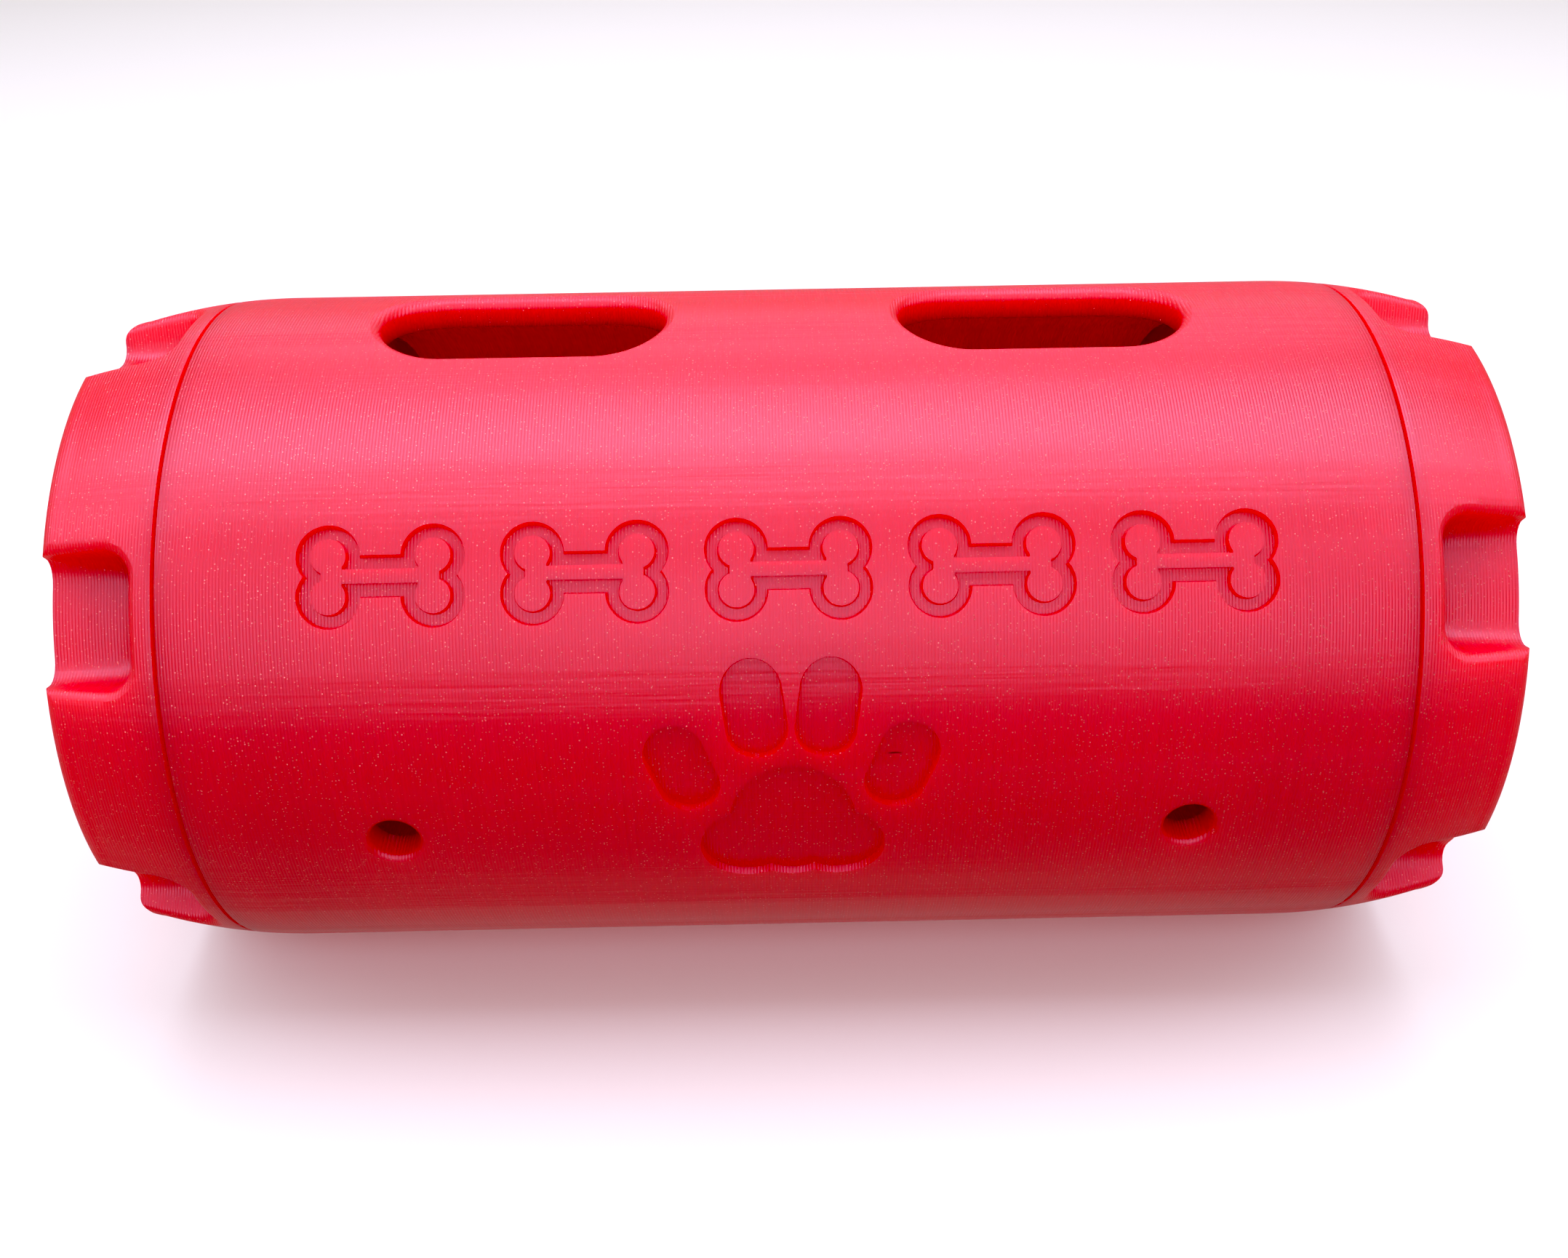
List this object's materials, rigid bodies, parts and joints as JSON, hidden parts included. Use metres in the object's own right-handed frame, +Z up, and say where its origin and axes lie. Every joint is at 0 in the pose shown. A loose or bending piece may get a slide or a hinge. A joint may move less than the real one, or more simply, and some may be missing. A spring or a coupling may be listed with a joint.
{
  "type": "treat tumbler toy",
  "caption": "Round barrel lying on its side, with treat slots on top, small holes at the front and a notched screw cap on each end.",
  "frame": {"origin": "middle of the barrel's axis, halfway between the two caps", "axes": "+X along the barrel to the right-hand cap, +Z up through the slots with the barrel lying on its side, -Y through the engraved front"},
  "size_m": [0.1386, 0.07, 0.07],
  "materials": {
    "barrel_plastic": "printed PETG with fine layer lines and glitter",
    "cap_plastic": "printed PETG with fine layer lines and glitter"
  },
  "bodies": {
    "barrel": {"barrel": "barrel_plastic"},
    "left_cap": {"left_cap": "cap_plastic"},
    "right_cap": {"right_cap": "cap_plastic"}
  },
  "joints": [
    {"name": "left_cap_pull", "type": "slide", "parent": "barrel", "child": "left_cap", "axis": [-1, 0, 0], "range_m": [0, 0.03]},
    {"name": "right_cap_pull", "type": "slide", "parent": "barrel", "child": "right_cap", "axis": [1, 0, 0], "range_m": [0, 0.03]}
  ]
}
